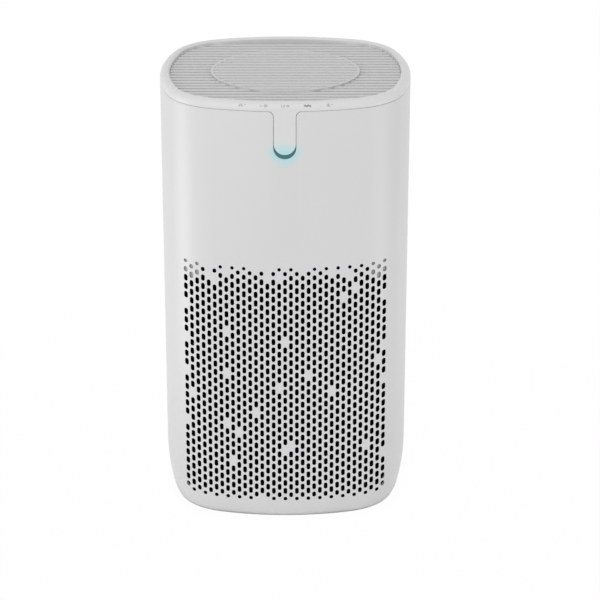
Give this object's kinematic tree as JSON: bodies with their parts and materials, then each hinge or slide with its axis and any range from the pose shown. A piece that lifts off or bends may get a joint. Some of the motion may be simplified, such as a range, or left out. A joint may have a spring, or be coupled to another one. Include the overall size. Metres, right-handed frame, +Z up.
{
  "type": "air purifier",
  "caption": "Free-standing squared tower air purifier: perforated lower intake wall, slatted outlet on top, touch rim with a light crescent, quick-turn filter base.",
  "frame": {"origin": "middle of the footprint on the floor, under the rubber feet", "axes": "+Z up along the fan axis, the front with the touch rim's tongue faces -Y, +X is to the right seen from the front"},
  "size_m": [0.21, 0.21, 0.37],
  "materials": {
    "white_shell": "fine satin moulded ABS",
    "white_rim": "fine satin moulded ABS",
    "white_grille": "fine satin moulded ABS",
    "light_guide": "smoked clear acrylic",
    "black_net": "woven black nylon",
    "grey_base": "moulded ABS",
    "foot_rubber": "matt",
    "fan_plastic": "moulded polypropylene",
    "duct_plastic": "moulded polypropylene",
    "board": "soldermask on glass epoxy",
    "chip": "moulded epoxy",
    "header": "moulded nylon",
    "led": "clear resin",
    "flex": "polyimide film",
    "copper": "enamelled copper",
    "steel": "zinc plated",
    "motor_steel": "black electrocoat",
    "magnet": "sintered ferrite",
    "filter_paper": "pleated glass-fibre paper",
    "filter_frame": "moulded polyurethane",
    "foam": "closed-cell foam",
    "jack_plastic": "moulded nylon"
  },
  "bodies": {
    "housing": {"front_shell": "white_shell", "rear_shell": "white_shell", "top_rim": "white_rim", "outlet_grille": "white_grille", "light_guide": "light_guide", "dust_net_front": "black_net", "dust_net_rear": "black_net", "touch_strip": "flex", "touch_electrodes": "copper", "control_board": "board", "board_screws": "steel", "status_leds": "led", "controller_chip": "chip", "board_header": "header", "inlet_plate": "duct_plastic", "inlet_guard": "fan_plastic", "plate_screws": "steel", "fan_duct": "duct_plastic", "duct_screws": "steel", "motor_can": "motor_steel", "motor_lid": "motor_steel", "bearings": "steel", "stator_core": "magnet", "stator_coils": "copper", "motor_mount": "duct_plastic", "motor_dampers": "foot_rubber", "motor_screws": "steel", "base_ring": "grey_base", "feet": "foot_rubber", "power_jack": "jack_plastic", "jack_pin": "steel"},
    "rotor": {"impeller": "fan_plastic", "motor_shaft": "steel", "impeller_nut": "steel", "rotor_magnet": "magnet"},
    "cartridge": {"filter_cover": "grey_base", "filter_bottom_cap": "filter_frame", "filter_media": "filter_paper", "filter_core": "filter_frame", "filter_sleeve": "black_net", "filter_top_cap": "filter_frame", "filter_gasket": "foam"}
  },
  "joints": [
    {"name": "fan_spin", "type": "hinge", "parent": "housing", "child": "rotor", "pos_m": [0, 0, 0.28], "axis": [0, 0, 1], "continuous": true},
    {"name": "cover_turn", "type": "hinge", "parent": "housing", "child": "cartridge", "pos_m": [0, 0, 0.01], "axis": [0, 0, -1], "range_deg": [0, 30]}
  ]
}
